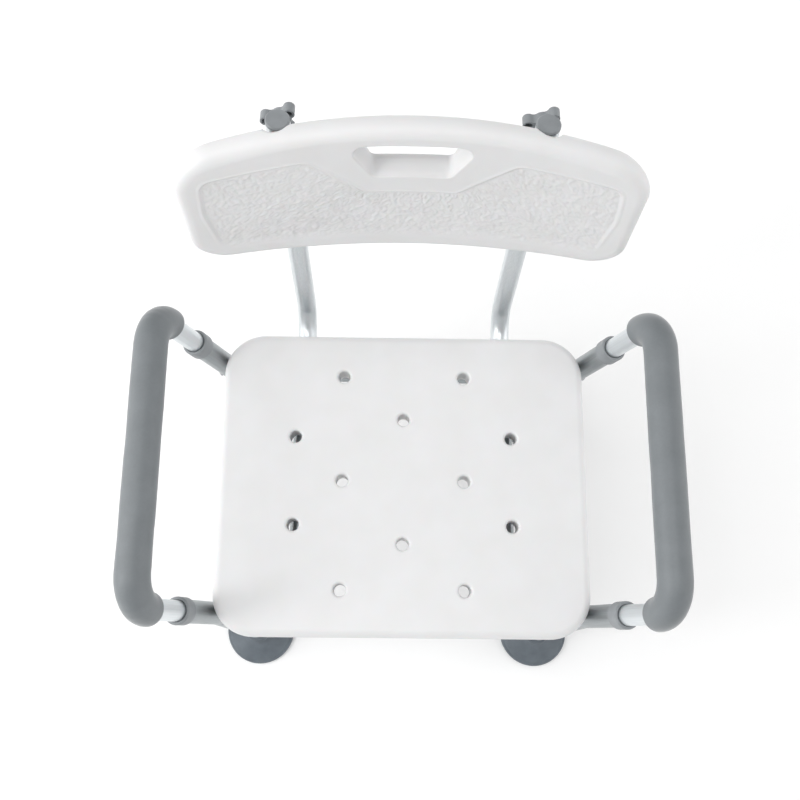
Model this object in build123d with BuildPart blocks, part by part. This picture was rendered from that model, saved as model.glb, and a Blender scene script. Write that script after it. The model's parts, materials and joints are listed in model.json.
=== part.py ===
"""A shower chair: moulded seat and backrest on a bent-tube aluminium frame, with foam-covered arms.

Millimetres, +Z up, front towards -Y. The origin is on the floor, under the middle of the whole chair.
"""

import os
from math import cos, radians, sin, sqrt, tan

from build123d import *

os.makedirs("parts", exist_ok=True)

# Overall
SEAT_TOP = 355.0
SEAT_Y = -36.7
CORNERS = {"front_left": (-1, -1), "front_right": (1, -1), "rear_left": (-1, 1), "rear_right": (1, 1)}
SIDES = {"left": -1, "right": 1}

# Seat
SEAT_WIDTH = 422.0
SEAT_DEPTH = 348.0
SEAT_THICK = 28.0
SEAT_CORNER = 47.0
SEAT_WALL = 3.4
SEAT_FLOOR = 6.2
DRAIN_RADIUS = 6.9
DRAIN_POINTS = [(69.9, 122.7), (0.0, 71.7), (124.3, 50.8), (69.9, 0.0)]

# Tubes
OUTER = 12.7
SOCKET_BORE = 11.2
INNER = 11.12
INNER_BORE = 9.9

# Arm posts and corner tubes
POST_LEAN = 14.0
POST_X = 226.5
POST_Y = 148.0
BEND_DROP = 52.0
CORNER_BEND = 80.0
SOCKET_END = 43.0
COLLAR_LOW, COLLAR_HIGH = 29.0, 47.5
COLLAR_RADIUS = 14.8
ARM_INSERT = -33.0
ARM_HEIGHT = 140.0
ARM_BEND = 34.0
GRIP_RADIUS = 17.5
GRIP_END = 106.0
ARM_BUTTON = 21.6

# Legs and feet
FOOT_X = 199.0
FOOT_Y = 164.0
FOOT_RADIUS = 48.0
FOOT_HEIGHT = 40.0
LEG_TOP = 45.0
LEG_BUTTON = 80.0
LEG_PITCH = 25.4
LEG_HOLES = 7
SOCKET_FOOT = 252.0
TUBE_FLOOR = 6.5

# Under the seat
RAIL_X = 118.0
RAIL_DROP = 37.7
RAIL_FRONT = -158.0
RAIL_REAR = 174.0
CROSS_DROP = 70.0
SEAT_BOLT_X = 22.0
CRADLE_X = 60.0
CRADLE_Y = 22.0

# Back
BACK_Y = 213.0
RECLINE = 7.5
BACK_BEND = 40.0
BACK_INSERT = 28.0
BACK_TUBE_END = 365.1
BACK_BUTTON = 163.5
PANEL_LOW, PANEL_HIGH = 204.5, 383.5
PANEL_HALF = 213.5
PANEL_THICK = 25.0
PANEL_CURVE = 900.0
PANEL_FACE = -1.3
CROWN_RADIUS = 850.0
KNOB_UP = 343.0
SCREW_UP = 236.0
KNOB_HUB = 9.5
KNOB_REACH = 13.7
KNOB_LOBE = 5.3
KNOB_GAP = 11.5
KNOB_TURN = 55.0

# Snap buttons
BUTTON_RADIUS = 3.2
BUTTON_HOLE = 3.5
BUTTON_PROUD = 2.7


def finish(piece, name):
    piece.part.label = name
    export_step(piece.part, f"parts/{name}.step")


def spot(x, y, up):
    """A point given from the seat's middle and its top face."""
    return Vector(x, y + SEAT_Y, SEAT_TOP + up)


def post_way(sx):
    return Vector(sx * sin(radians(POST_LEAN)), 0, cos(radians(POST_LEAN)))


def post_point(sx, sy, along):
    return spot(sx * POST_X, sy * POST_Y, 0) + post_way(sx) * along


def corner_point(sx, sy):
    return post_point(sx, sy, -BEND_DROP / cos(radians(POST_LEAN)))


def leg_way(sx, sy):
    foot = Vector(sx * FOOT_X, sy * FOOT_Y + SEAT_Y, 0)
    return (foot - corner_point(sx, sy)).normalized()


def leg_length(sx, sy):
    foot = Vector(sx * FOOT_X, sy * FOOT_Y + SEAT_Y, 0)
    return (foot - corner_point(sx, sy)).length


def leg_point(sx, sy, along):
    return corner_point(sx, sy) + leg_way(sx, sy) * along


def leg_side(sx, sy):
    """The way out of the leg towards its own side of the chair, square to the leg."""
    way = leg_way(sx, sy)
    side = Vector(sx, 0, 0)
    return (side - way * side.dot(way)).normalized()


def cross_end(sx, sy):
    """Where the cross tube's axis meets the leg's."""
    return leg_point(sx, sy, (CROSS_DROP - BEND_DROP) / -leg_way(sx, sy).Z)


def post_side(sx):
    return Vector(sx * cos(radians(POST_LEAN)), 0, -sin(radians(POST_LEAN)))


CROSS_Y = cross_end(1, 1).Y - SEAT_Y
BACK_UP = Vector(0, sin(radians(RECLINE)), cos(radians(RECLINE)))
BACK_OUT = Vector(0, cos(radians(RECLINE)), -sin(radians(RECLINE)))


def back_point(x, out, up):
    """A point by its distance up the back tubes and out of their plane."""
    return spot(x, BACK_Y, -RAIL_DROP) + BACK_UP * up + BACK_OUT * out


def back_plane(out, up=0.0):
    """A plane square to the back, seen from the front: x to the right, y up the back."""
    return Plane(origin=back_point(0, out, up), x_dir=(1, 0, 0), z_dir=-BACK_OUT)


def bent_wire(points, radius):
    """Straight runs through the points, with an arc of one radius at each inner point."""
    start = points[0]
    with BuildLine() as path:
        for before, corner, after in zip(points, points[1:], points[2:]):
            one = (before - corner).normalized()
            two = (after - corner).normalized()
            half = radians(one.get_angle(two) / 2)
            back = radius / tan(half)
            middle = corner + (one + two).normalized() * (radius / sin(half) - radius)
            Line(start, corner + one * back)
            ThreePointArc(corner + one * back, middle, corner + two * back)
            start = corner + two * back
        Line(start, points[-1])
    return path.wire()


def ring(point, way, outer, inner):
    with BuildSketch(Plane(origin=point, z_dir=way)) as section:
        Circle(outer)
        Circle(inner, mode=Mode.SUBTRACT)
    return section.sketch


def rod(point, way, radius, length, mode=Mode.ADD):
    """A cylinder from a point along a way, for use inside a part."""
    with Locations(Plane(origin=point, z_dir=way)):
        Cylinder(radius, length, align=(Align.CENTER, Align.CENTER, Align.MIN), mode=mode)


def turned(points, point, way, mode=Mode.ADD):
    """A profile of (radius, height) pairs turned about a line, for use inside a part."""
    base = Plane(origin=point, z_dir=way)
    side = Plane(origin=point, x_dir=base.x_dir, z_dir=-base.y_dir)
    with BuildSketch(side) as profile:
        with BuildLine():
            Polyline(*points, close=True)
        make_face()
    revolve(profile.sketch, axis=Axis(point, way), mode=mode)


# ---------------------------------------------------------------- seat


def drain_points():
    spots = []
    for x, y in DRAIN_POINTS:
        spots += [(sx * x, sy * y) for sx in ((-1, 1) if x else (1,)) for sy in ((-1, 1) if y else (1,))]
    return spots


def seat_bolt_points():
    return [
        (sx * RAIL_X + dx, sy * CROSS_Y)
        for sx in (-1, 1)
        for sy in (-1, 1)
        for dx in (-SEAT_BOLT_X, SEAT_BOLT_X)
    ]


def seat_plane(up):
    return Plane(origin=spot(0, 0, up))


with BuildPart() as seat_hollow:
    with BuildSketch(seat_plane(-SEAT_THICK + SEAT_FLOOR)):
        RectangleRounded(SEAT_WIDTH - 12, SEAT_DEPTH - 12, SEAT_CORNER - 6)
        with Locations(*drain_points()):
            Circle(DRAIN_RADIUS + 5.0, mode=Mode.SUBTRACT)
        with Locations(*seat_bolt_points()):
            Circle(7.0, mode=Mode.SUBTRACT)
        for x in (-RAIL_X, RAIL_X):
            with Locations((x, 0)):
                Rectangle(16, 60, mode=Mode.SUBTRACT)
        with Locations((0, 0)):
            Rectangle(60, 16, mode=Mode.SUBTRACT)
    extrude(amount=SEAT_THICK - SEAT_FLOOR - SEAT_WALL)
    fillet(seat_hollow.edges().filter_by(Axis.Z), radius=1.5)

with BuildPart() as seat_panel:
    with BuildSketch(seat_plane(-SEAT_THICK)):
        RectangleRounded(SEAT_WIDTH, SEAT_DEPTH, SEAT_CORNER)
    extrude(amount=SEAT_THICK)
    fillet(seat_panel.faces().sort_by(Axis.Z)[-1].edges(), radius=9.0)
    fillet(seat_panel.faces().sort_by(Axis.Z)[0].edges(), radius=5.0)
    for x in (-RAIL_X, RAIL_X):
        rod(spot(x, -SEAT_DEPTH, -RAIL_DROP), (0, 1, 0), OUTER, 2 * SEAT_DEPTH, Mode.SUBTRACT)
    for x, y in drain_points():
        rod(spot(x, y, -SEAT_THICK - 1), (0, 0, 1), DRAIN_RADIUS, SEAT_THICK + 2, Mode.SUBTRACT)
    drain_rims = seat_panel.edges().filter_by(GeomType.CIRCLE).filter_by(
        lambda e: abs(e.radius - DRAIN_RADIUS) < 0.01 and abs(e.center().Z - SEAT_TOP) < 0.01
    )
    fillet(drain_rims, radius=3.4)
    for x, y in seat_bolt_points():
        rod(spot(x, y, -SEAT_THICK - 1), (0, 0, 1), 2.5, 17.0, Mode.SUBTRACT)
    add(seat_hollow.part, mode=Mode.SUBTRACT)
finish(seat_panel, "seat_panel")


# ---------------------------------------------------------------- corner tubes, cross tubes, rails


def corner_tube(name, sx, sy):
    top = post_point(sx, sy, SOCKET_END)
    foot = leg_point(sx, sy, SOCKET_FOOT)
    points = [top, corner_point(sx, sy), foot]
    with BuildPart() as corner:
        sweep(
            sections=ring(top, points[1] - top, OUTER, SOCKET_BORE),
            path=bent_wire(points, CORNER_BEND),
        )
        rod(post_point(sx, sy, ARM_BUTTON), post_side(sx), BUTTON_HOLE, 20, Mode.SUBTRACT)
        for k in range(LEG_HOLES):
            at = leg_point(sx, sy, LEG_BUTTON + k * LEG_PITCH)
            rod(at, leg_side(sx, sy), BUTTON_HOLE, 20, Mode.SUBTRACT)
        rod(cross_end(sx, sy) - Vector(20, 0, 0), (1, 0, 0), 3.2, 40, Mode.SUBTRACT)
    finish(corner, f"corner_tube_{name}")


for corner_name, (sx, sy) in CORNERS.items():
    corner_tube(corner_name, sx, sy)


def cross_tube(name, sy):
    left, right = cross_end(-1, sy), cross_end(1, sy)
    with BuildPart() as cross:
        rod(left, (1, 0, 0), OUTER, (right - left).X)
        rod(left, (1, 0, 0), SOCKET_BORE, (right - left).X, Mode.SUBTRACT)
        for sx in (-1, 1):
            rod(leg_point(sx, sy, -15), leg_way(sx, sy), OUTER + 0.03, 95, Mode.SUBTRACT)
            for dx in (-SEAT_BOLT_X, SEAT_BOLT_X):
                at = spot(sx * RAIL_X + dx, sy * CROSS_Y, -CROSS_DROP - 30)
                rod(at, (0, 0, 1), 2.7, 60, Mode.SUBTRACT)
    finish(cross, f"cross_tube_{name}")


cross_tube("front", -1)
cross_tube("rear", 1)

with BuildPart() as cross_tube_inserts:
    for sx, sy in CORNERS.values():
        inner_end = cross_end(sx, sy) - Vector(sx * 17.0, 0, 0)
        rod(inner_end, (-sx, 0, 0), SOCKET_BORE, 22)
        rod(inner_end, (-sx, 0, 0), 3.0, 22, Mode.SUBTRACT)
finish(cross_tube_inserts, "cross_tube_inserts")

with BuildPart() as corner_bolts:
    for sx, sy in CORNERS.values():
        head = cross_end(sx, sy) + Vector(sx * (OUTER + 0.4), 0, 0)
        turned([(0, 0), (7.0, 0), (6.6, 1.8), (4.6, 3.6), (0, 4.2)], head, (sx, 0, 0))
        rod(head, (-sx, 0, 0), 3.0, 48)
        rod(head + Vector(sx * 2.6, 0, 0), (sx, 0, 0), 2.0, 4, Mode.SUBTRACT)
finish(corner_bolts, "corner_bolts")


def back_rail(name, sx):
    with BuildPart() as rail:
        rod(spot(sx * RAIL_X, RAIL_FRONT, -RAIL_DROP), (0, 1, 0), OUTER, RAIL_REAR - RAIL_FRONT)
        rod(
            spot(sx * RAIL_X, RAIL_FRONT - 1, -RAIL_DROP),
            (0, 1, 0),
            SOCKET_BORE,
            RAIL_REAR - RAIL_FRONT + 2,
            Mode.SUBTRACT,
        )
        rod(spot(sx * RAIL_X, BACK_BUTTON, -RAIL_DROP), (sx, 0, 0), BUTTON_HOLE, 20, Mode.SUBTRACT)
    finish(rail, f"back_rail_{name}")


for side_name, sx in SIDES.items():
    back_rail(side_name, sx)

with BuildPart() as rail_plugs:
    for sx in (-1, 1):
        face = spot(sx * RAIL_X, RAIL_FRONT, -RAIL_DROP)
        turned(
            [(0, -14), (SOCKET_BORE, -14), (SOCKET_BORE, 0), (OUTER, 0), (OUTER, 1.2), (11.2, 2.8), (0, 3.2)],
            face,
            (0, -1, 0),
        )
finish(rail_plugs, "rail_plugs")

with BuildPart() as seat_cradles:
    for sx in (-1, 1):
        for sy in (-1, 1):
            with BuildSketch(Plane(origin=spot(sx * RAIL_X, sy * CROSS_Y, -SEAT_THICK))):
                RectangleRounded(CRADLE_X, CRADLE_Y, 5)
            extrude(amount=-38.0)
            rod(spot(sx * RAIL_X, sy * CROSS_Y - 20, -RAIL_DROP), (0, 1, 0), OUTER, 40, Mode.SUBTRACT)
            rod(spot(sx * RAIL_X - 40, sy * CROSS_Y, -CROSS_DROP), (1, 0, 0), OUTER, 80, Mode.SUBTRACT)
            for dx in (-SEAT_BOLT_X, SEAT_BOLT_X):
                at = spot(sx * RAIL_X + dx, sy * CROSS_Y, -CROSS_DROP)
                rod(at, (0, 0, 1), 2.7, 60, Mode.SUBTRACT)
finish(seat_cradles, "seat_cradles")

with BuildPart() as seat_bolts:
    for x, y in seat_bolt_points():
        head = spot(x, y, -CROSS_DROP - OUTER - 0.3)
        turned([(0, 0), (5.2, 0), (5.0, 1.4), (3.6, 2.9), (0, 3.4)], head, (0, 0, -1))
        rod(head, (0, 0, 1), 2.5, CROSS_DROP + OUTER + 0.3 - SEAT_THICK + 14.5)
        rod(head - Vector(0, 0, 1.8), (0, 0, -1), 1.5, 4, Mode.SUBTRACT)
finish(seat_bolts, "seat_bolts")


# ---------------------------------------------------------------- collars, bushings


def sleeve(point, way, low, high, step, outer):
    """A ring pushed over a socket's end: the tube's own radius below the step, a free bore above it."""
    turned(
        [
            (OUTER, low),
            (outer - 1.2, low),
            (outer, low + 1.2),
            (outer, high - 1.8),
            (outer - 0.7, high - 0.5),
            (outer - 1.8, high),
            (INNER + 1.0, high),
            (INNER + 0.35, high - 0.6),
            (INNER + 0.35, step),
            (OUTER, step),
        ],
        point,
        way,
    )


def arm_collar(name, sx, sy):
    with BuildPart() as collar:
        sleeve(post_point(sx, sy, 0), post_way(sx), COLLAR_LOW, COLLAR_HIGH, SOCKET_END, COLLAR_RADIUS)
    finish(collar, f"arm_collar_{name}")


for corner_name, (sx, sy) in CORNERS.items():
    arm_collar(corner_name, sx, sy)

with BuildPart() as leg_bushings:
    for sx, sy in CORNERS.values():
        sleeve(corner_point(sx, sy), leg_way(sx, sy), SOCKET_FOOT - 9, SOCKET_FOOT + 6, SOCKET_FOOT, 14.4)
finish(leg_bushings, "leg_bushings")


# ---------------------------------------------------------------- snap buttons


def snap_button(point, way):
    """A domed pin with a flange that stops it against the inside of its tube."""
    turned(
        [
            (0, 7.6),
            (4.6, 7.6),
            (4.6, 8.4),
            (BUTTON_RADIUS, 8.4),
            (BUTTON_RADIUS, OUTER + 0.9),
            (BUTTON_RADIUS - 0.5, OUTER + 1.9),
            (1.7, OUTER + BUTTON_PROUD - 0.2),
            (0, OUTER + BUTTON_PROUD),
        ],
        point,
        way,
    )


def snap_spring(point, way, along):
    """A folded spring strip: its short arm carries the button, its long arm rests on the far wall."""
    across = way.cross(along).normalized()
    flat = Plane(origin=point - across * 3.0, x_dir=way, z_dir=across)
    turn = 1 if flat.y_dir.dot(along) > 0 else -1
    shape = [
        (7.6, -5.0), (7.6, 4.0), (1.6, 36.0), (0.0, 38.4), (-1.6, 36.0), (-9.2, 1.0),
        (-8.6, 0.8), (-1.1, 35.4), (0.0, 37.2), (1.1, 35.4), (7.0, 3.8), (7.0, -5.0),
    ]
    with BuildSketch(flat) as strip:
        with BuildLine():
            Polyline(*[(a, b * turn) for a, b in shape], close=True)
        make_face()
    extrude(strip.sketch, amount=6.0)


# ---------------------------------------------------------------- legs


def foot(point, way, tube_end):
    with BuildSketch(Plane(origin=point, x_dir=(1, 0, 0), z_dir=(0, -1, 0))) as profile:
        with BuildLine():
            Polyline((0, 0), (45.5, 0), (FOOT_RADIUS, 1.6), (FOOT_RADIUS, 5.6), (46.6, 7.0), (44.6, 7.6))
            Spline((44.6, 7.6), (38.0, 13.4), (28.0, 18.8), (19.4, 25.0), tangents=[(-0.45, 1), (-0.5, 1)])
            Polyline((19.4, 25.0), (17.6, 30.0), (16.9, FOOT_HEIGHT - 2), (15.6, FOOT_HEIGHT))
            Line((15.6, FOOT_HEIGHT), (0, FOOT_HEIGHT))
            Line((0, FOOT_HEIGHT), (0, 0))
        make_face()
    revolve(profile.sketch, axis=Axis(point, (0, 0, 1)))
    for radius in (25.0, 36.0):
        with Locations(Plane(origin=point)):
            Cylinder(radius + 2.5, 1.5, align=(Align.CENTER, Align.CENTER, Align.MIN), mode=Mode.SUBTRACT)
            Cylinder(radius, 1.5, align=(Align.CENTER, Align.CENTER, Align.MIN))
    rod(tube_end, -way, INNER, 60, Mode.SUBTRACT)


def leg(name, sx, sy):
    way = leg_way(sx, sy)
    tube_end = leg_length(sx, sy) - TUBE_FLOOR
    with BuildPart() as leg_tube:
        rod(leg_point(sx, sy, LEG_TOP), way, INNER, tube_end - LEG_TOP)
        rod(leg_point(sx, sy, LEG_TOP - 1), way, INNER_BORE, tube_end - LEG_TOP + 2, Mode.SUBTRACT)
        rod(leg_point(sx, sy, LEG_BUTTON), leg_side(sx, sy), BUTTON_HOLE, 20, Mode.SUBTRACT)
    finish(leg_tube, f"leg_tube_{name}")
    with BuildPart() as rubber:
        foot(Vector(sx * FOOT_X, sy * FOOT_Y + SEAT_Y, 0), way, leg_point(sx, sy, tube_end))
    finish(rubber, f"foot_{name}")
    with BuildPart() as button:
        snap_button(leg_point(sx, sy, LEG_BUTTON), leg_side(sx, sy))
    finish(button, f"leg_button_{name}")
    with BuildPart() as spring:
        snap_spring(leg_point(sx, sy, LEG_BUTTON), leg_side(sx, sy), way)
    finish(spring, f"leg_spring_{name}")


for corner_name, (sx, sy) in CORNERS.items():
    leg(corner_name, sx, sy)


# ---------------------------------------------------------------- arms


def arm_points(sx, low):
    """Up the front post, back along the arm and down the rear post."""
    top = ARM_HEIGHT / cos(radians(POST_LEAN))
    return [
        post_point(sx, -1, low),
        post_point(sx, -1, top),
        post_point(sx, 1, top),
        post_point(sx, 1, low),
    ]


def arm(name, sx):
    points = arm_points(sx, ARM_INSERT)
    with BuildPart() as arm_tube:
        sweep(
            sections=ring(points[0], post_way(sx), INNER, INNER_BORE),
            path=bent_wire(points, ARM_BEND),
        )
        for sy in (-1, 1):
            rod(post_point(sx, sy, ARM_BUTTON), post_side(sx), BUTTON_HOLE, 20, Mode.SUBTRACT)
    finish(arm_tube, f"arm_tube_{name}")
    points = arm_points(sx, GRIP_END)
    with BuildPart() as grip:
        sweep(
            sections=ring(points[0], post_way(sx), GRIP_RADIUS, INNER),
            path=bent_wire(points, ARM_BEND),
        )
        rims = grip.edges().filter_by(GeomType.CIRCLE).filter_by(
            lambda e: abs(e.radius - GRIP_RADIUS) < 0.01 and e.center().Z < SEAT_TOP + ARM_HEIGHT - 30
        )
        fillet(rims, radius=3.0)
    finish(grip, f"arm_grip_{name}")
    with BuildPart() as springs:
        for sy in (-1, 1):
            snap_spring(post_point(sx, sy, ARM_BUTTON), post_side(sx), -post_way(sx))
    finish(springs, f"arm_springs_{name}")


for side_name, sx in SIDES.items():
    arm(side_name, sx)


def arm_button(name, sx, sy):
    with BuildPart() as button:
        snap_button(post_point(sx, sy, ARM_BUTTON), post_side(sx))
    finish(button, f"arm_button_{name}")


for corner_name, (sx, sy) in CORNERS.items():
    arm_button(corner_name, sx, sy)


# ---------------------------------------------------------------- back


def drop(x, radius):
    return radius - sqrt(radius * radius - x * x)


def curved_band(front, rear):
    """The space between two concentric curved walls, run up the back's whole height and beyond."""
    width = PANEL_HALF + 40
    base = Plane(origin=back_point(0, 0, 150), x_dir=(1, 0, 0), z_dir=BACK_UP)
    with BuildSketch(base) as plan:
        with BuildLine():
            for out in (front, rear):
                radius = PANEL_CURVE + out
                side = out - drop(width, radius)
                ThreePointArc((-width, side), (0, out), (width, side))
            low = front - drop(width, PANEL_CURVE + front)
            high = rear - drop(width, PANEL_CURVE + rear)
            Line((-width, low), (-width, high))
            Line((width, low), (width, high))
        make_face()
    with BuildPart() as band:
        extrude(plan.sketch, amount=300)
    return band.part


def panel_outline(inset):
    """The backrest seen square on: straight sides, rounded corners, a gently arched top edge."""
    half = PANEL_HALF - inset
    low = PANEL_LOW + inset
    high = PANEL_HIGH - inset
    fall = drop(half, CROWN_RADIUS)
    with BuildSketch(back_plane(60)) as outline:
        with BuildLine():
            Line((-half, high - fall), (-half, low))
            Line((-half, low), (half, low))
            Line((half, low), (half, high - fall))
            ThreePointArc((half, high - fall), (0, high), (-half, high - fall))
        make_face()
        fillet(outline.vertices().group_by(Axis.Y)[0], radius=40 - inset)
        fillet(outline.vertices().group_by(Axis.Y)[-1], radius=36 - inset)
    return outline.sketch


def texture_outline():
    """The sunk area of the front face: full width below, notched in the middle under the hand hold."""
    right = [(183, -151.5), (191.5, -95), (187.5, -49), (94.5, -36.5), (43, -83.5)]
    left = [(-x, up) for x, up in reversed(right)]
    with BuildSketch(back_plane(60, PANEL_HIGH)) as outline:
        with BuildLine():
            FilletPolyline(*right, *left, radius=12, close=True)
        make_face()
    return outline.sketch


def hold_outline(out, top_half, bottom_half, top, bottom, radius):
    """One section of the hand hold, its heights counted from the backrest's top."""
    with BuildSketch(back_plane(out, PANEL_HIGH)) as outline:
        with BuildLine():
            FilletPolyline(
                (-top_half, top), (top_half, top), (bottom_half, bottom), (-bottom_half, bottom),
                radius=radius, close=True,
            )
        make_face()
    return outline.sketch.face()


def screw_points():
    return [(sx * RAIL_X, up) for sx in (-1, 1) for up in (KNOB_UP, SCREW_UP)]


PANEL_FRONT = PANEL_FACE - PANEL_THICK

with BuildPart() as back_hollow:
    extrude(panel_outline(10), amount=120)
    add(curved_band(PANEL_FRONT + 3.6, PANEL_FACE - 5.6), mode=Mode.INTERSECT)
    with BuildSketch(back_plane(60)):
        with Locations((0, PANEL_HIGH - 40)):
            RectangleRounded(134, 70, 10)
        with Locations(*[(x, up) for x, up in screw_points()]):
            Circle(9)
        with Locations((0, PANEL_LOW + 50)):
            RectangleRounded(16, 44, 6)
    extrude(amount=120, mode=Mode.SUBTRACT)

with BuildPart() as sunk_face:
    extrude(texture_outline(), amount=120)
    add(curved_band(PANEL_FRONT - 6.0, PANEL_FRONT + 0.8), mode=Mode.INTERSECT)

with BuildPart() as backrest_panel:
    extrude(panel_outline(0), amount=120)
    add(curved_band(PANEL_FRONT, PANEL_FACE), mode=Mode.INTERSECT)
    long_edges = backrest_panel.faces().sort_by(lambda f: f.area)[-2:].edges()
    fillet(long_edges, radius=8.5)
    add(sunk_face.part, mode=Mode.SUBTRACT)
    mouth = hold_outline(PANEL_FRONT - 4.0, 62.9, 35.8, -16.3, -63.0, 9.0)
    throat = hold_outline(-9.0, 37.0, 37.0, -17.5, -52.5, 7.0)
    flare = hold_outline(2.7, 46.7, 46.7, -11.5, -68.0, 12.0)
    loft([mouth, throat], mode=Mode.SUBTRACT)
    loft([throat, flare], mode=Mode.SUBTRACT)
    for sx in (-1, 1):
        rod(back_point(sx * RAIL_X, 0, 150), BACK_UP, INNER, 300, Mode.SUBTRACT)
    for x, up in screw_points():
        rod(back_point(x, -25, up), BACK_OUT, 5.0, 25, Mode.SUBTRACT)
    add(back_hollow.part, mode=Mode.SUBTRACT)
finish(backrest_panel, "backrest_panel")

with BuildPart() as back_inserts:
    for x, up in screw_points():
        bore = 3.06 if up == KNOB_UP else 2.5
        turned([(bore, -25), (5.0, -25), (5.0, -11.4), (bore, -11.4)], back_point(x, 0, up), BACK_OUT)
finish(back_inserts, "back_inserts")


def back_tube(name, sx):
    points = [
        spot(sx * RAIL_X, BACK_INSERT, -RAIL_DROP),
        spot(sx * RAIL_X, BACK_Y, -RAIL_DROP),
        back_point(sx * RAIL_X, 0, BACK_TUBE_END),
    ]
    with BuildPart() as tube:
        sweep(
            sections=ring(points[0], (0, 1, 0), INNER, INNER_BORE),
            path=bent_wire(points, BACK_BEND),
        )
        rod(points[0] + Vector(0, BACK_BUTTON - BACK_INSERT, 0), (sx, 0, 0), BUTTON_HOLE, 20, Mode.SUBTRACT)
        rod(back_point(sx * RAIL_X, -20, KNOB_UP), BACK_OUT, 3.4, 40, Mode.SUBTRACT)
        rod(back_point(sx * RAIL_X, -20, SCREW_UP), BACK_OUT, 2.8, 40, Mode.SUBTRACT)
    finish(tube, f"back_tube_{name}")


for side_name, sx in SIDES.items():
    back_tube(side_name, sx)

with BuildPart() as back_tube_plugs:
    for sx in (-1, 1):
        turned(
            [(0, -9), (INNER_BORE, -9), (INNER_BORE, 0), (INNER, 0), (INNER, 1.6), (10.0, 2.9), (0, 3.4)],
            back_point(sx * RAIL_X, 0, BACK_TUBE_END),
            BACK_UP,
        )
finish(back_tube_plugs, "back_tube_plugs")

with BuildPart() as back_screws:
    for sx in (-1, 1):
        head = back_point(sx * RAIL_X, INNER + 0.1, SCREW_UP)
        turned([(0, 0), (5.0, 0), (4.8, 1.4), (3.4, 2.8), (0, 3.2)], head, BACK_OUT)
        rod(head, -BACK_OUT, 2.5, 34)
        rod(head + BACK_OUT * 1.6, BACK_OUT, 1.5, 4, Mode.SUBTRACT)
finish(back_screws, "back_screws")

with BuildPart() as back_springs:
    for sx in (-1, 1):
        snap_spring(spot(sx * RAIL_X, BACK_BUTTON, -RAIL_DROP), Vector(sx, 0, 0), Vector(0, -1, 0))
finish(back_springs, "back_springs")


def back_button(name, sx):
    with BuildPart() as button:
        snap_button(spot(sx * RAIL_X, BACK_BUTTON, -RAIL_DROP), Vector(sx, 0, 0))
    finish(button, f"back_button_{name}")


def hand_knob(name, sx):
    """A three-lobed knob: solid hub and neck, each lobe hollow on the side that faces the tube."""
    at = back_point(sx * RAIL_X, KNOB_GAP, KNOB_UP)
    front = Plane(origin=at + BACK_OUT * 4.5, x_dir=(1, 0, 0), z_dir=-BACK_OUT)
    with BuildPart() as knob:
        with BuildSketch(front) as star:
            Circle(KNOB_HUB)
            with PolarLocations(KNOB_REACH, 3, start_angle=KNOB_TURN):
                Circle(KNOB_LOBE)
            fillet(star.vertices(), radius=4.0)
        extrude(amount=-10.5)
        fillet(knob.faces().sort_by(Axis.Y)[-1].edges(), radius=1.6)
        with BuildSketch(front):
            with PolarLocations(KNOB_REACH, 3, start_angle=KNOB_TURN):
                Circle(KNOB_LOBE - 1.6)
        extrude(amount=-7.5, mode=Mode.SUBTRACT)
        rod(at, BACK_OUT, 6.6, 6)
        rod(at - BACK_OUT * 1, BACK_OUT, 3.0, 10.0, Mode.SUBTRACT)
    finish(knob, f"back_knob_{name}")
    with BuildPart() as stud:
        rod(back_point(sx * RAIL_X, -23.5, KNOB_UP), BACK_OUT, 3.0, 23.5 + KNOB_GAP + 9.0)
        chamfer(stud.edges().sort_by(Axis.Y)[:1], length=0.8)
    finish(stud, f"back_stud_{name}")


for side_name, sx in SIDES.items():
    back_button(side_name, sx)
    hand_knob(side_name, sx)
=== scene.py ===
"""Looks of the shower chair: moulded seat and backrest, anodised tubes, foam grips, in a soft white studio."""

import json
from math import cos, pi, radians, sin

import bpy
import numpy as np
from mathutils import Matrix, Vector


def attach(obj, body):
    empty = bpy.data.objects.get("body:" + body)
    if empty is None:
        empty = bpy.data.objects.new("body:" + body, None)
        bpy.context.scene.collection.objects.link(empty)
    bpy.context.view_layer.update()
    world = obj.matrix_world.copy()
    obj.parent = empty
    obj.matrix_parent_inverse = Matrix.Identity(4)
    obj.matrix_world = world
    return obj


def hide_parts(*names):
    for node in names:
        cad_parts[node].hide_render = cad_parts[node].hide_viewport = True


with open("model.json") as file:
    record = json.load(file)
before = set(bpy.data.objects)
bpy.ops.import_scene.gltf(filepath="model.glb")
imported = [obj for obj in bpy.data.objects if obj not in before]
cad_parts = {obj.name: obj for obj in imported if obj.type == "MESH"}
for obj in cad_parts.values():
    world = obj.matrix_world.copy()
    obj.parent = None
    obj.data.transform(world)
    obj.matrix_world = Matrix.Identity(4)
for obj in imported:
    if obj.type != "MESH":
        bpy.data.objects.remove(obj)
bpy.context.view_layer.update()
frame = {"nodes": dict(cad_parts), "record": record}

MM = 0.001

# Driving sizes of the chair in millimetres, as the CAD has them
SEAT_TOP, SEAT_Y = 355.0, -36.7
POST_X, POST_Y, POST_LEAN = 226.5, 148.0, radians(14.0)
ARM_HEIGHT, ARM_BEND = 140.0, 34.0
TUBE_RADIUS = 11.12
BACK_Y, RAIL_X, RAIL_DROP, RECLINE = 213.0, 118.0, 37.7, radians(7.5)

# Foam grips: where they end along the posts, their radius, and the rounding of their ends
GRIP_END, GRIP_RADIUS, GRIP_ROUNDING = 106.0, 17.5, 3.2

# Backrest: its edges along the back tubes, half its width, and its depths from the plane of the tubes
PANEL_LOW, PANEL_HIGH, PANEL_HALF = 204.5, 383.5, 213.5
PANEL_FRONT, PANEL_REAR = -26.3, -1.3
PANEL_CURVE, CROWN_RADIUS = 900.0, 850.0
REAR_ROUNDING, REAR_FLARE = 8.0, 7.5
GROOVE_RADIUS = TUBE_RADIUS + 0.25

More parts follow.
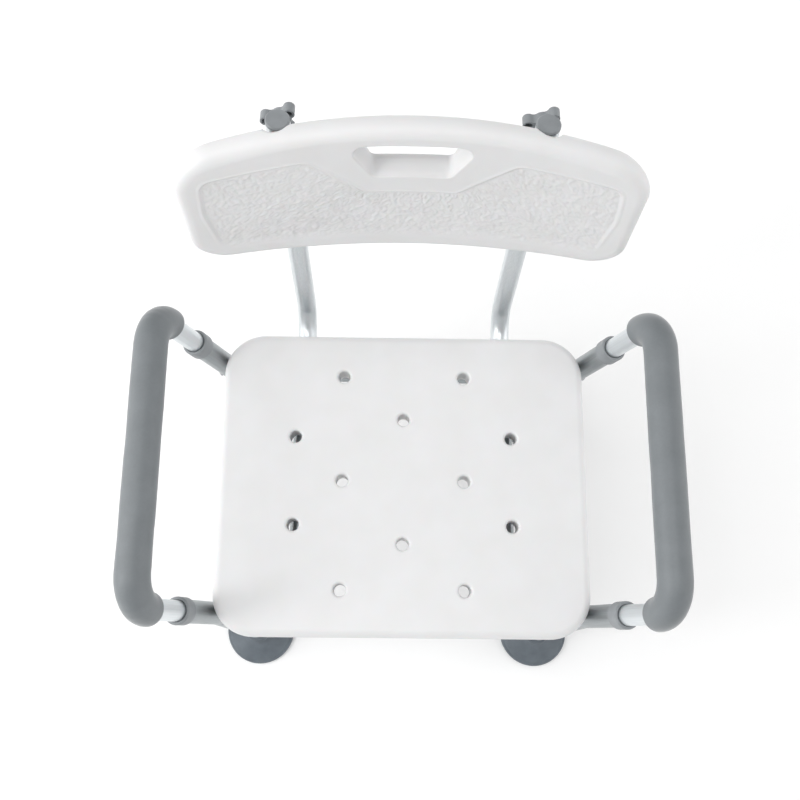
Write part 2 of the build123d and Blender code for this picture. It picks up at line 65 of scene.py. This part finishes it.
# Relief of its front face: how far the face stands back, the grained area sinks, its bead and its grain rise,
# and how deep the hand hold's scoop and its rounded lip go
FACE_BACK, SUNK_DEPTH, BEAD_HEIGHT, GRAIN_HEIGHT = 0.45, 1.2, 0.6, 1.05
SCOOP_DEPTH, LIP_DEPTH = 16.5, 1.2

# Its outlines: corners of the right half as (across, up from the top edge), bottom first, and all corner radii
RIM = [(PANEL_HALF, PANEL_LOW - PANEL_HIGH), (PANEL_HALF, 0)], [40, 36, 36, 40]
MOUTH = [(35, -61), (60, -16.5)], [10, 11, 11, 10]
HOLE = [(36, -53), (50, -17.5)], [6, 7, 7, 6]
REAR_HOLE = [(43, -63), (56, -13.5)], [11, 10, 10, 11]
GRAINED = (
    [(182, -157), (191.5, -95), (187.5, -49), (94.5, -36.5), (43, -83.5)],
    [12, 60, 12, 14, 12, 12, 14, 12, 60, 12],
)

# Columns of points round the backrest, and rows over its front face
COLUMNS, FACE_ROWS = 580, 112

# Camera: focal length for a 36 mm wide picture, tilt down, roll and pan in degrees, and its place from the
# middle of the seat's top
FOCAL_LENGTH = 41.21577
CAMERA_DOWN, CAMERA_ROLL, CAMERA_PAN = 75.5397, -3.9697, 3.3119
CAMERA_PLACE = (-19.833, -171.209, 1035.907)

# Room light: its strength overhead and to the front, what its two side walls add, and the shift that makes
# the left wall the stronger
ROOM_BASE, ROOM_SIDES, ROOM_SHIFT = 0.26, 1.75, 0.05

# The broad sun straight above, and the strip light high on the left, in metres and watts
SUN_POWER, SUN_ANGLE, SUN_WAY = 0.95, 40, (0.10, 0.02, -1.0)
STRIP_POWER, STRIP_SIZE = 5.5, (0.35, 0.9)
STRIP_PLACE, STRIP_TARGET = (-1.1, -0.3, 1.3), (0.0, 0.15, 0.6)
FLOOR_HALF = 6


# ---------------------------------------------------------------- camera


def make_camera():
    """A camera above and in front of the chair, looking steeply down with a slight roll."""
    down, roll, pan = radians(CAMERA_DOWN), radians(CAMERA_ROLL), radians(CAMERA_PAN)
    look = Vector((sin(pan) * cos(down), cos(pan) * cos(down), -sin(down)))
    side = Vector((cos(pan), -sin(pan), 0))
    below = look.cross(side)
    x_axis = side * cos(roll) + below * sin(roll)
    y_axis = side * sin(roll) - below * cos(roll)
    data = bpy.data.cameras.new("camera")
    data.lens = FOCAL_LENGTH
    data.sensor_width = 36.0
    data.clip_end = 30.0
    camera = bpy.data.objects.new("camera", data)
    place = Matrix((x_axis, y_axis, -look)).transposed().to_4x4()
    place.translation = (Vector(CAMERA_PLACE) + Vector((0, SEAT_Y, SEAT_TOP))) * MM
    camera.matrix_world = place
    bpy.context.scene.collection.objects.link(camera)
    bpy.context.scene.camera = camera


# ---------------------------------------------------------------- materials


def linear(hex_colour):
    """An sRGB hex colour as linear RGBA."""
    parts = np.array([int(hex_colour[i : i + 2], 16) for i in (1, 3, 5)]) / 255
    low, high = parts / 12.92, ((parts + 0.055) / 1.055) ** 2.4
    return (*np.where(parts <= 0.04045, low, high).tolist(), 1.0)


def node(tree, kind, settings=None, **links):
    """Adds a node, sets its properties and its sockets' values, and links what is a socket.

    The setting "stops" fills a colour ramp from (position, hex colour) pairs."""
    made = tree.nodes.new(kind)
    settings = dict(settings or {})
    for index, (position, colour) in enumerate(settings.pop("stops", [])):
        made.color_ramp.elements[index].position = position
        made.color_ramp.elements[index].color = linear(colour)
    for name, value in settings.items():
        setattr(made, name, value)
    for name, value in links.items():
        key = int(name[1:]) if name[0] == "_" and name[1:].isdigit() else name.replace("_", " ")
        if isinstance(value, bpy.types.NodeSocket):
            tree.links.new(value, made.inputs[key])
        else:
            made.inputs[key].default_value = value
    return made


def start_material(name):
    material = bpy.data.materials.new(name)
    material.use_nodes = True
    tree = material.node_tree
    tree.nodes.clear()
    return material, tree


def end_material(material, tree, shader):
    out = tree.nodes.new("ShaderNodeOutputMaterial")
    tree.links.new(shader.outputs[0], out.inputs["Surface"])
    return material


def moulded_polyethylene():
    """Blow-moulded white high-density polyethylene: waxy and faintly translucent, with a fine mould grain."""
    material, tree = start_material("moulded_polyethylene")
    place = node(tree, "ShaderNodeTexCoord").outputs["Object"]
    # mould grain about 1.6 mm wide, over slow sink marks about 40 mm wide
    grain = node(tree, "ShaderNodeTexNoise", Vector=place, Scale=620.0, Detail=2.0, Roughness=0.6)
    sink = node(tree, "ShaderNodeTexNoise", Vector=place, Scale=25.0, Detail=2.0, Roughness=0.5)
    stops = [(0.3, "#dedede"), (0.7, "#e1e1e2")]
    tint = node(tree, "ShaderNodeValToRGB", {"stops": stops}, Fac=sink.outputs["Fac"])
    gloss = node(tree, "ShaderNodeMapRange", Value=grain.outputs["Fac"], To_Min=0.40, To_Max=0.52)
    low = node(tree, "ShaderNodeBump", Strength=0.25, Distance=0.0004, Height=sink.outputs["Fac"])
    fine = node(
        tree,
        "ShaderNodeBump",
        Strength=0.35,
        Distance=0.00012,
        Height=grain.outputs["Fac"],
        Normal=low.outputs["Normal"],
    )
    shader = node(
        tree,
        "ShaderNodeBsdfPrincipled",
        Base_Color=tint.outputs["Color"],
        Roughness=gloss.outputs["Result"],
        Normal=fine.outputs["Normal"],
        IOR=1.54,
        Subsurface_Weight=0.08,
        Subsurface_Scale=0.004,
    )
    return end_material(material, tree, shader)


def anodised_tube(name, turn, lit_copy):
    """Satin-anodised drawn aluminium tube: fine draw lines along the tube, about 0.7 mm apart, under a haze.

    The turn lays the pattern's long axis along the tube."""
    material, tree = start_material(name)
    place = node(tree, "ShaderNodeTexCoord").outputs["Object"]
    along = node(tree, "ShaderNodeMapping", Vector=place, Rotation=turn)
    lines = node(tree, "ShaderNodeMapping", Vector=along.outputs["Vector"], Scale=(1.0, 1.0, 0.012))
    draw = node(
        tree, "ShaderNodeTexNoise", Vector=lines.outputs["Vector"], Scale=1500.0, Detail=3.0, Roughness=0.65
    )
    haze = node(tree, "ShaderNodeTexNoise", Vector=along.outputs["Vector"], Scale=30.0, Detail=3.0)
    # painted light and shade: the lit copy gets lighter tints for the exposed arms and uprights, the other copy
    # darker tints as painted shade on the sockets, rails and cross tubes under the seat
    dark, light = ("#d3d8da", "#e4e8ea") if lit_copy else ("#8f9496", "#a8adaf")
    stops = [(0.25, dark), (0.75, light)]
    tint = node(tree, "ShaderNodeValToRGB", {"stops": stops}, Fac=draw.outputs["Fac"])
    gloss = node(tree, "ShaderNodeMapRange", Value=haze.outputs["Fac"], To_Min=0.30, To_Max=0.42)
    bump = node(tree, "ShaderNodeBump", Strength=0.12, Distance=0.00008, Height=draw.outputs["Fac"])
    shader = node(
        tree,
        "ShaderNodeBsdfPrincipled",
        Base_Color=tint.outputs["Color"],
        Metallic=1.0,
        Roughness=gloss.outputs["Result"],
        Normal=bump.outputs["Normal"],
    )
    return end_material(material, tree, shader)


def nitrile_foam():
    """Closed-cell rubber foam with a sanded skin: soft sheen, cells about 0.7 mm across, slight mottling."""
    material, tree = start_material("nitrile_foam")
    place = node(tree, "ShaderNodeTexCoord").outputs["Object"]
    cells = node(tree, "ShaderNodeTexVoronoi", {"feature": "F1"}, Vector=place, Scale=1400.0)
    pores = node(tree, "ShaderNodeTexNoise", Vector=place, Scale=380.0, Detail=4.0, Roughness=0.6)
    mottle = node(tree, "ShaderNodeTexNoise", Vector=place, Scale=45.0, Detail=3.0)
    mixed = node(
        tree,
        "ShaderNodeMath",
        {"operation": "MULTIPLY_ADD"},
        _0=pores.outputs["Fac"],
        _1=0.45,
        _2=mottle.outputs["Fac"],
    )
    stops = [(0.3, "#6c7174"), (1.0, "#767b7e")]
    tint = node(tree, "ShaderNodeValToRGB", {"stops": stops}, Fac=mixed.outputs["Value"])
    soft = node(tree, "ShaderNodeBump", Strength=0.35, Distance=0.0002, Height=pores.outputs["Fac"])
    bump = node(
        tree,
        "ShaderNodeBump",
        Strength=0.25,
        Distance=0.0001,
        Height=cells.outputs["Distance"],
        Normal=soft.outputs["Normal"],
    )
    shader = node(
        tree,
        "ShaderNodeBsdfPrincipled",
        Base_Color=tint.outputs["Color"],
        Roughness=0.46,
        Normal=bump.outputs["Normal"],
        IOR=1.47,
        Sheen_Weight=0.35,
        Sheen_Roughness=0.4,
    )
    return end_material(material, tree, shader)


def moulded_grey(name, dark, light, roughness, grain_mm):
    """Injection-moulded grey plastic or rubber with a spark-eroded grain of the given size."""
    material, tree = start_material(name)
    place = node(tree, "ShaderNodeTexCoord").outputs["Object"]
    grain = node(
        tree, "ShaderNodeTexNoise", Vector=place, Scale=1000.0 / grain_mm, Detail=2.0, Roughness=0.6
    )
    cloud = node(tree, "ShaderNodeTexNoise", Vector=place, Scale=60.0, Detail=2.0)
    stops = [(0.3, dark), (0.7, light)]
    tint = node(tree, "ShaderNodeValToRGB", {"stops": stops}, Fac=cloud.outputs["Fac"])
    gloss = node(
        tree,
        "ShaderNodeMapRange",
        Value=grain.outputs["Fac"],
        To_Min=roughness - 0.06,
        To_Max=roughness + 0.06,
    )
    bump = node(tree, "ShaderNodeBump", Strength=0.3, Distance=0.0001, Height=grain.outputs["Fac"])
    shader = node(
        tree,
        "ShaderNodeBsdfPrincipled",
        Base_Color=tint.outputs["Color"],
        Roughness=gloss.outputs["Result"],
        Normal=bump.outputs["Normal"],
    )
    return end_material(material, tree, shader)


def plated_metal(name, dark, light, roughness):
    """Zinc-plated steel or plain brass, with a faint tumbled unevenness about 3 mm wide."""
    material, tree = start_material(name)
    place = node(tree, "ShaderNodeTexCoord").outputs["Object"]
    cloud = node(tree, "ShaderNodeTexNoise", Vector=place, Scale=330.0, Detail=3.0)
    stops = [(0.3, dark), (0.7, light)]
    tint = node(tree, "ShaderNodeValToRGB", {"stops": stops}, Fac=cloud.outputs["Fac"])
    gloss = node(
        tree,
        "ShaderNodeMapRange",
        Value=cloud.outputs["Fac"],
        To_Min=roughness - 0.06,
        To_Max=roughness + 0.08,
    )
    shader = node(
        tree,
        "ShaderNodeBsdfPrincipled",
        Base_Color=tint.outputs["Color"],
        Metallic=1.0,
        Roughness=gloss.outputs["Result"],
    )
    return end_material(material, tree, shader)


def dress_nodes():
    """Gives every CAD node its material: tubes by the way they run, the rest by slot. Returns those by slot."""
    upright, lengthwise, crosswise = (0.0, 0.0, 0.0), (pi / 2, 0.0, 0.0), (0.0, pi / 2, 0.0)
    lean_left, lean_right = (0.0, POST_LEAN, 0.0), (0.0, -POST_LEAN, 0.0)
    slots = {s["node"]: s["material_slot"] for s in frame["record"]["subparts"]}
    plain = {
        "white_plastic": moulded_polyethylene(),
        "grey_foam": nitrile_foam(),
        "grey_plastic": moulded_grey("moulded_grey_nylon", "#83878a", "#8e9295", 0.5, 0.8),
        "foot_rubber": moulded_grey("moulded_grey_rubber", "#596168", "#666e75", 0.62, 1.1),
        "steel": plated_metal("zinc_plated_steel", "#a9abad", "#c3c5c7", 0.32),
        "brass": plated_metal("plain_brass", "#b8924a", "#cfae63", 0.30),
    }
    # one anodised metal in two tints: the sockets, back rails and cross tubes under the seat get the darker
    # tint, painted shade; the arms and uprights get the lighter tint, painted light
    tubes = {
        "corner_left": anodised_tube("anodised_socket_left", lean_left, False),
        "corner_right": anodised_tube("anodised_socket_right", lean_right, False),
        "arm_left": anodised_tube("anodised_arm_left", lean_left, True),
        "arm_right": anodised_tube("anodised_arm_right", lean_right, True),
        "rail": anodised_tube("anodised_rail", lengthwise, False),
        "cross": anodised_tube("anodised_cross", crosswise, False),
        "upright": anodised_tube("anodised_upright", upright, True),
    }
    for name, obj in frame["nodes"].items():
        side = "left" if name.endswith("left") else "right"
        if name.startswith("corner_tube"):
            material = tubes[f"corner_{side}"]
        elif name.startswith("arm_tube"):
            material = tubes[f"arm_{side}"]
        elif name.startswith("back_rail"):
            material = tubes["rail"]
        elif name.startswith("cross_tube_") and not name.endswith("inserts"):
            material = tubes["cross"]
        elif slots[name] == "aluminium_tube":
            material = tubes["upright"]
        else:
            material = plain[slots[name]]
        obj.data.materials.clear()
        obj.data.materials.append(material)
    return plain


# ---------------------------------------------------------------- numpy surfaces


def grid_mesh(name, points, material, close_rows=True, close_columns=True):
    """A mesh from a rows x columns x 3 grid of points in millimetres, closed on itself both ways if asked."""
    rows, columns = points.shape[:2]
    row, column = np.meshgrid(
        np.arange(rows if close_rows else rows - 1),
        np.arange(columns if close_columns else columns - 1),
        indexing="ij",
    )
    below, beside = (row + 1) % rows, (column + 1) % columns
    quads = np.stack(
        [row * columns + column, row * columns + beside, below * columns + beside, below * columns + column],
        axis=-1,
    ).reshape(-1, 4)
    mesh = bpy.data.meshes.new(name)
    mesh.vertices.add(rows * columns)
    mesh.vertices.foreach_set("co", (points * MM).astype(np.float32).ravel())
    mesh.loops.add(quads.size)
    mesh.loops.foreach_set("vertex_index", quads.astype(np.int32).ravel())
    mesh.polygons.add(len(quads))
    mesh.polygons.foreach_set("loop_start", np.arange(0, quads.size, 4, dtype=np.int32))
    mesh.polygons.foreach_set("use_smooth", np.ones(len(quads), dtype=bool))
    mesh.update(calc_edges=True)
    mesh.validate()
    mesh.materials.append(material)
    obj = bpy.data.objects.new(name, mesh)
    bpy.context.scene.collection.objects.link(obj)
    return obj


def noise(x, y, size, seed):
    """Smooth noise from -1 to 1 on a lattice of the given size: random corner values joined by smoothstep."""
    table = np.random.default_rng(seed).uniform(-1, 1, (256, 256))
    a, b = x / size + 57.3, y / size + 91.7
    i, j = np.floor(a).astype(int), np.floor(b).astype(int)
    fa, fb = a - i, b - j
    fa, fb = fa * fa * (3 - 2 * fa), fb * fb * (3 - 2 * fb)
    near = table[i % 256, j % 256] * (1 - fa) + table[(i + 1) % 256, j % 256] * fa
    far = table[i % 256, (j + 1) % 256] * (1 - fa) + table[(i + 1) % 256, (j + 1) % 256] * fa
    return near * (1 - fb) + far * fb


def smooth_step(value, low, high):
    """0 below low, 1 above high, and between them 3 t squared less 2 t cubed."""
    t = np.clip((value - low) / (high - low), 0, 1)
    return t * t * (3 - 2 * t)


# ---------------------------------------------------------------- backrest


def rounded_polygon(corners, radii, count):
    """A closed outline of equal steps: straight sides joined by an arc of its own radius at each corner.

    Each arc's centre lies on the corner's bisector, and its points turn evenly from the first touching point
    to the last."""
    corners = np.array(corners, float)
    before, after = np.roll(corners, 1, 0) - corners, np.roll(corners, -1, 0) - corners
    before /= np.linalg.norm(before, axis=1)[:, None]
    after /= np.linalg.norm(after, axis=1)[:, None]
    half = np.arccos(np.clip((before * after).sum(1), -1, 1)) / 2
    radii = np.array(radii, float)
    back = radii / np.tan(half)
    blend = np.linspace(0, 1, 25)
    centre = corners + (before + after) / np.linalg.norm(before + after, axis=1)[:, None] * (
        radii / np.sin(half)
    )[:, None]
    first = corners + before * back[:, None] - centre
    last = corners + after * back[:, None] - centre
    sweep = pi - 2 * half
    fan = np.sin((1 - blend) * sweep[:, None])[..., None] * first[:, None]
    fan = fan + np.sin(blend * sweep[:, None])[..., None] * last[:, None]
    loop = (centre[:, None] + fan / np.sin(sweep)[:, None, None]).reshape(-1, 2)
    loop = np.vstack([loop, loop[:1]])
    steps = np.concatenate([[0], np.cumsum(np.linalg.norm(np.diff(loop, axis=0), axis=1))])
    at = np.linspace(0, steps[-1], count, endpoint=False)
    return np.stack([np.interp(at, steps, loop[:, k]) for k in (0, 1)], axis=1)


def start_at_top(loop):
    """Rolls an outline so that it starts where it crosses the middle at the top, and runs to +x first."""
    top = np.where(loop[:, 1] > loop[:, 1].mean(), np.abs(loop[:, 0]), np.inf).argmin()
    loop = np.roll(loop, -top, axis=0)
    return loop if loop[5, 0] > loop[0, 0] else np.roll(loop[::-1], 1, axis=0)


def inward(loop):
    """Unit normals of a clockwise outline, towards its inside."""
    way = np.roll(loop, -1, 0) - np.roll(loop, 1, 0)
    way /= np.linalg.norm(way, axis=1)[:, None]
    return np.stack([way[:, 1], -way[:, 0]], axis=1)


def distance_inside(points, outline):
    """How far points lie inside a closed outline, negative outside: nearest side, signed by crossing parity."""
    start, end = outline, np.roll(outline, -1, 0)
    best = np.full(len(points), np.inf)
    odd = np.zeros(len(points), bool)
    for a, b in zip(start, end):
        side = b - a
        t = np.clip(((points - a) @ side) / (side @ side), 0, 1)
        best = np.minimum(best, np.hypot(*(points - a - t[:, None] * side).T))
        straddles = (a[1] > points[:, 1]) != (b[1] > points[:, 1])
        rise = b[1] - a[1] if b[1] != a[1] else 1.0
        odd ^= straddles & (points[:, 0] < a[0] + (points[:, 1] - a[1]) * side[0] / rise)
    return np.where(odd, best, -best)


def back_to_row(x, out, up):
    """From backrest coordinates (across, depth from the tubes' plane, height up the tubes) to the row frame.

    Depth is measured along the radius of the backrest's curve, so a line of one depth is an arc."""
    radius = PANEL_CURVE + out
    flat = np.sqrt(radius**2 - x**2) - PANEL_CURVE
    y = BACK_Y + SEAT_Y + up * sin(RECLINE) + flat * cos(RECLINE)
    z = SEAT_TOP - RAIL_DROP + up * cos(RECLINE) - flat * sin(RECLINE)
    return np.stack([x, y, z], axis=-1)


def leather_relief(x, up):
    """Height, 0 to about 1, of the bark-like grain: warped noise raised into thin ridges where it crosses zero.

    A slower noise lets the ridges rise and sink, so that they read as short worms."""
    warp_x = x + 1.7 * noise(x, up, 6, 3) + 0.9 * noise(x, up, 3.5, 4)
    warp_up = up + 3.0 * noise(x, up, 6, 5) + 1.6 * noise(x, up, 3.5, 6)
    coarse = 1 - np.minimum(1, np.abs(noise(warp_x, warp_up * 0.55, 3.9, 7)) * 3.2)
    fine = 1 - np.minimum(1, np.abs(noise(warp_x + 40, warp_up * 0.6, 3.2, 8)) * 3.0)
    patch = 0.72 + 0.4 * noise(x, up * 0.6, 5.5, 10)
    return np.maximum(coarse * patch, 0.8 * fine * (1.45 - patch))


def backrest_outline(corners, radii, count):
    """An outline on the backrest from the corners of its right half, mirrored to the left."""
    right = [(x, PANEL_HIGH + up) for x, up in corners]
    left = [(-x, up) for x, up in reversed(right)]
    return rounded_polygon([*right, *left], radii, count)


def ring(outline, out):
    """One ring of the backrest: an outline with its depth, one number or one for each point."""
    return np.column_stack([outline, np.broadcast_to(out, len(outline))])


def scoop_rings(hole, mouth):
    """The hand hold's scoop: depth falls evenly from hole to mouth, less a bell-shaped rounded lip at the hole,
    and a sine slows the outline where it meets the face."""
    rings = []
    for t in np.linspace(0, 1, 12, endpoint=False):
        depth = SCOOP_DEPTH * (1 - t) - LIP_DEPTH * np.exp(-((t / 0.10) ** 2))
        rings.append(ring(hole + (mouth - hole) * (t - 0.10 * np.sin(2 * pi * t)), PANEL_FRONT + depth))
    return rings


def face_rings(mouth, face_edge, grained):
    """The front face, on straight lines from the mouth to the rim's rounding.

    Its depth steps down smoothly inside the grained outline, less a bell-shaped bead along that outline and
    less the grain. Towards the bottom the bead fades and the step widens."""
    spread = np.linspace(0, 1, FACE_ROWS)
    face = mouth[None] + (face_edge - mouth)[None] * spread[:, None, None]
    across, up = face.reshape(-1, 2).T
    inside = distance_inside(face.reshape(-1, 2), grained)
    crisp = smooth_step(up, PANEL_LOW + 24, PANEL_LOW + 50)
    sunk = SUNK_DEPTH * (crisp * smooth_step(inside, -0.3, 1.2) + (1 - crisp) * smooth_step(inside, -3, 12))
    sunk -= BEAD_HEIGHT * crisp * np.exp(-(((inside + 1.5) / 1.1) ** 2))
    fade = smooth_step(inside, 1.0, 3.5) * smooth_step(up, PANEL_LOW + 18, PANEL_LOW + 34)
    lift = leather_relief(across, up) * GRAIN_HEIGHT * fade
    out = (PANEL_FRONT + FACE_BACK + sunk - lift).reshape(FACE_ROWS, COLUMNS)
    out[0] = PANEL_FRONT + FACE_BACK
    return [ring(face[k], out[k]) for k in range(FACE_ROWS)]


def rim_rings(rim, normal, edge):
    """The rim: a quarter ellipse from the face over the edge, and another from there to the rear."""
    middle = (PANEL_FRONT + PANEL_REAR) / 2
    rings = []
    for turn in np.linspace(0, pi / 2, 11)[1:]:
        out = middle - (middle - PANEL_FRONT - FACE_BACK) * cos(turn)
        rings.append(ring(rim + normal * edge * (1 - sin(turn)), out))
    for turn in np.linspace(0, pi / 2, 8)[1:]:
        out = middle + (PANEL_REAR - middle) * sin(turn)
        rings.append(ring(rim + normal * REAR_ROUNDING * (1 - cos(turn)), out))
    return rings


def rear_rings(rear_edge, rear_hole, hole):
    """The flat rear face, its rings gathered between the two sides of each tube groove, then a quarter ellipse
    that flares back through the hole."""
    out_x = np.abs(rear_edge[:, 0])
    fall = np.maximum(out_x - np.abs(rear_hole[:, 0]), 1.0)
    enter = np.clip((out_x - RAIL_X - GROOVE_RADIUS) / fall, 0.03, 0.8)
    leave = np.clip((out_x - RAIL_X + GROOVE_RADIUS) / fall, enter + 0.08, 0.95)
    shares = [enter * k / 4 for k in range(1, 5)]
    shares += [enter + (leave - enter) * (1 - cos(pi * k / 14)) / 2 for k in range(1, 15)]
    shares += [leave + (1 - leave) * k / 5 for k in range(1, 6)]
    rings = [ring(rear_edge + (rear_hole - rear_edge) * t[:, None], PANEL_REAR) for t in shares]
    for t in np.linspace(0, 1, 8)[1:-1]:
        outline = rear_hole + (hole - rear_hole) * sin(t * pi / 2)
        rings.append(ring(outline, PANEL_REAR - REAR_FLARE * (1 - cos(t * pi / 2))))
    return rings


def cut_grooves(grid):
    """Presses the two round grooves that hold the tubes into the rear: no depth passes the tube's circle."""
    aside = np.abs(np.abs(grid[..., 0]) - RAIL_X)
    groove = -np.sqrt(np.clip(GROOVE_RADIUS**2 - aside**2, 0, None))
    behind = (aside < GROOVE_RADIUS) & (grid[..., 2] > groove)
    grid[..., 2] = np.where(behind, groove, grid[..., 2])


def make_backrest(material):
    """One closed surface in two periodic parameters: round the hand hold, and out over the front face,
    round the rim, in over the rear face and back through the hole.

    The crown lowers the top edge by the height of a circle's arc, less and less towards the bottom."""
    rim, mouth, hole, rear_hole = (
        start_at_top(backrest_outline(*outline, COLUMNS)) for outline in (RIM, MOUTH, HOLE, REAR_HOLE)
    )
    crown = CROWN_RADIUS - np.sqrt(CROWN_RADIUS**2 - rim[:, 0] ** 2)
    rim[:, 1] -= crown * smooth_step(rim[:, 1], PANEL_LOW, PANEL_HIGH)
    normal = inward(rim)
    edge = (9.0 + 4.0 * smooth_step(np.abs(rim[:, 0]), 70, 200))[:, None]
    grid = np.array(
        scoop_rings(hole, mouth)
        + face_rings(mouth, rim + normal * edge, backrest_outline(*GRAINED, 300))
        + rim_rings(rim, normal, edge)
        + rear_rings(rim + normal * REAR_ROUNDING, rear_hole, hole)
    )
    cut_grooves(grid)
    points = back_to_row(grid[..., 0], grid[..., 2], grid[..., 1])
    panel = grid_mesh("backrest_shell", points, material)
    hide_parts("backrest_panel")
    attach(panel, "back")


# ---------------------------------------------------------------- foam grips


def bent_path(corners, radius, step):
    """Points at even steps along straight runs joined by arcs of one radius, with their travel.

    Each arc is centred on its corner's bisector and turns evenly between its touching points."""
    runs = [corners[0]]
    for before, corner, after in zip(corners, corners[1:], corners[2:]):
        one = (before - corner) / np.linalg.norm(before - corner)
        two = (after - corner) / np.linalg.norm(after - corner)
        half = np.arccos(one @ two) / 2
        centre = corner + (one + two) / np.linalg.norm(one + two) * radius / np.sin(half)
        first = corner + one * radius / np.tan(half) - centre
        last = corner + two * radius / np.tan(half) - centre
        sweep = pi - 2 * half
        blend = np.linspace(0, 1, 40)[:, None]
        arc = (np.sin((1 - blend) * sweep) * first + np.sin(blend * sweep) * last) / np.sin(sweep)
        runs.append(centre + arc)
    line = np.vstack([*runs, corners[-1]])
    travel = np.concatenate([[0], np.cumsum(np.linalg.norm(np.diff(line, axis=0), axis=1))])
    at = np.linspace(0, travel[-1], int(travel[-1] / step) + 1)
    return np.stack([np.interp(at, travel, line[:, k]) for k in range(3)], axis=1), at


def make_grip(name, side, material):
    """A thick foam sleeve carried along the bent arm: outer skin, rounded ends and bore in one closed loop.

    The skin's radius is the foam's, less a quarter circle at each end, less slow noise, plus a cosine of the
    travel inside the bends for small folds."""
    way = np.array([side * sin(POST_LEAN), 0, cos(POST_LEAN)])
    front = np.array([side * POST_X, -POST_Y + SEAT_Y, SEAT_TOP])
    rear = front + [0, 2 * POST_Y, 0]
    top = ARM_HEIGHT / cos(POST_LEAN)
    corners = np.array([front + way * GRIP_END, front + way * top, rear + way * top, rear + way * GRIP_END])
    path, travel = bent_path(corners, ARM_BEND, 1.6)
    length = travel[-1]

    # stations: out along the skin with its rounded ends, then back along the bore
    turn = np.linspace(0, pi / 2, 7)
    head = GRIP_ROUNDING * (1 - np.cos(turn))
    straight = (travel > GRIP_ROUNDING + 1) & (travel < length - GRIP_ROUNDING - 1)
    skin_at = np.concatenate([head, travel[straight], length - head[::-1]])
    skin_radius = np.full(len(skin_at), GRIP_RADIUS)
    skin_radius[:7] -= GRIP_ROUNDING * (1 - np.sin(turn))
    skin_radius[-7:] -= GRIP_ROUNDING * (1 - np.sin(turn[::-1]))
    at = np.concatenate([skin_at, np.linspace(length, 0, 60)])
    radius = np.concatenate([skin_radius, np.full(60, TUBE_RADIUS + 0.05)])

    # the circle round each station, from two directions square to the path
    centre = np.stack([np.interp(at, travel, path[:, k]) for k in range(3)], axis=1)
    slope = np.gradient(path, axis=0)
    tangent = np.stack([np.interp(at, travel, slope[:, k]) for k in range(3)], axis=1)
    tangent /= np.linalg.norm(tangent, axis=1)[:, None]
    flat = np.array([side * cos(POST_LEAN), 0, -sin(POST_LEAN)])
    across = np.cross(tangent, flat)
    angle = np.linspace(0, 2 * pi, 72, endpoint=False)[None]
    way_out = np.cos(angle)[..., None] * flat + np.sin(angle)[..., None] * across[:, None]

    # uneven skin and folds
    along, seed = at[:, None], 25 + 5 * side
    swell = 0.22 * noise(along, 26 * np.sin(angle), 34, seed)
    swell = swell + 0.07 * noise(along, 17 * np.cos(angle), 9, seed + 1)
    near_bend = np.exp(-(((along - 30) / 14) ** 2)) + np.exp(-(((along - length + 30) / 14) ** 2))
    folds = -0.14 * near_bend * np.clip(np.sin(angle), 0, 1) ** 3 * np.cos(along * 2 * pi / 6.5)
    swell = np.minimum(swell - 0.18, 0.0) + folds
    on_skin = np.arange(len(at))[:, None] < len(skin_at)
    reach = radius[:, None] + np.where(on_skin, swell, 0.0)
    points = centre[:, None] + way_out * reach[..., None]

    grip = grid_mesh(f"foam_grip_{name}", points, material)
    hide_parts(f"arm_grip_{name}")
    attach(grip, f"arm_{name}")


# ---------------------------------------------------------------- studio


def make_room(scene):
    """A white room whose light is a base strength plus the square of how far a direction points aside."""
    world = bpy.data.worlds.new("studio")
    world.use_nodes = True
    tree = world.node_tree
    way = node(tree, "ShaderNodeSeparateXYZ", Vector=node(tree, "ShaderNodeTexCoord").outputs["Generated"])
    aside = node(tree, "ShaderNodeMath", {"operation": "SUBTRACT"}, _0=way.outputs["X"], _1=ROOM_SHIFT)
    aside = aside.outputs["Value"]
    square = node(tree, "ShaderNodeMath", {"operation": "MULTIPLY"}, _0=aside, _1=aside)
    level = node(
        tree,
        "ShaderNodeMath",
        {"operation": "MULTIPLY_ADD"},
        _0=square.outputs["Value"],
        _1=ROOM_SIDES,
        _2=ROOM_BASE,
    )
    background = tree.nodes["Background"]
    background.inputs["Color"].default_value = (1, 1, 1, 1)
    tree.links.new(level.outputs["Value"], background.inputs["Strength"])
    scene.world = world


def make_floor(scene):
    """A plain matt white floor."""
    half = FLOOR_HALF
    mesh = bpy.data.meshes.new("floor")
    corners = [(-half, -half, 0), (half, -half, 0), (half, half, 0), (-half, half, 0)]
    mesh.from_pydata(corners, [], [(0, 1, 2, 3)])
    floor = bpy.data.objects.new("floor", mesh)
    scene.collection.objects.link(floor)
    paint, tree = start_material("floor_paint")
    shader = node(tree, "ShaderNodeBsdfPrincipled", Base_Color=linear("#ffffff"), Roughness=0.9)
    mesh.materials.append(end_material(paint, tree, shader))


def add_light(scene, name, kind, settings, way):
    """A lamp with its settings, shining the given way."""
    data = bpy.data.lights.new(name, kind)
    for key, value in settings.items():
        setattr(data, key, value)
    lamp = bpy.data.objects.new(name, data)
    lamp.rotation_euler = way.to_track_quat("-Z", "Y").to_euler()
    scene.collection.objects.link(lamp)
    return lamp


def make_studio():
    """The white room and floor, the broad soft sun straight above, and the strip light high on the left."""
    scene = bpy.context.scene
    scene.view_settings.view_transform = "Standard"
    make_room(scene)
    make_floor(scene)
    add_light(scene, "sun", "SUN", {"energy": SUN_POWER, "angle": radians(SUN_ANGLE)}, Vector(SUN_WAY))
    wide, tall = STRIP_SIZE
    shape = {"shape": "RECTANGLE", "size": wide, "size_y": tall, "energy": STRIP_POWER}
    place = Vector(STRIP_PLACE)
    strip = add_light(scene, "strip", "AREA", shape, Vector(STRIP_TARGET) - place)
    strip.location = place


make_camera()
plain = dress_nodes()
make_backrest(plain["white_plastic"])
for grip_name, grip_side in (("left", -1), ("right", 1)):
    make_grip(grip_name, grip_side, plain["grey_foam"])
make_studio()
